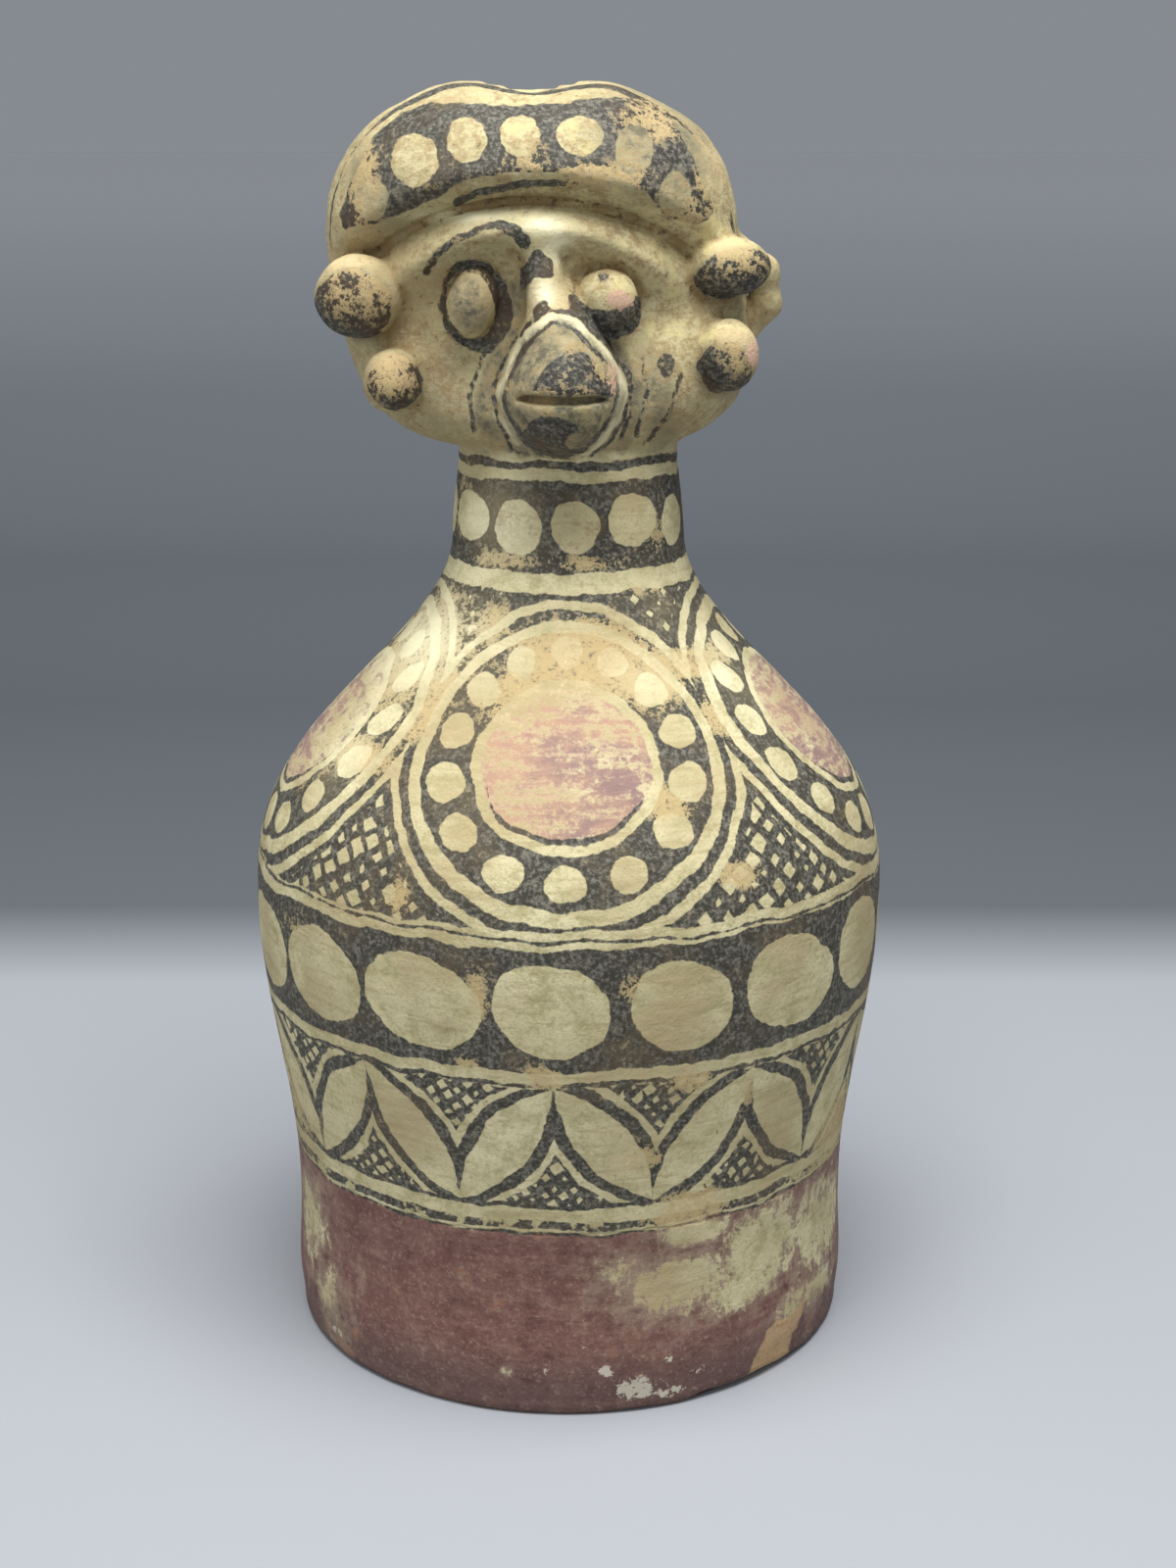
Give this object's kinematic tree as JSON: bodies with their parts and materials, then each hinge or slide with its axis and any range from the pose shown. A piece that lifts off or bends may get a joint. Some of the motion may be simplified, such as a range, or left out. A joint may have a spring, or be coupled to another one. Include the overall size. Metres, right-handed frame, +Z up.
{
  "type": "rhyton",
  "caption": "Hollow painted clay rhyton with a broad shoulder, slim neck and a modelled animal-like head under a headband, open at the foot it stands on.",
  "frame": {"origin": "centre of the open foot, on the surface that the vessel stands on", "axes": "+Z up along the thrown body, -Y the way the face looks"},
  "size_m": [0.1438, 0.1438, 0.2804],
  "materials": {
    "painted_clay": "matt fired clay with cream slip, black and plum-red painting, worn and dusty"
  },
  "bodies": {
    "root": {"rhyton": "painted_clay"}
  },
  "joints": []
}
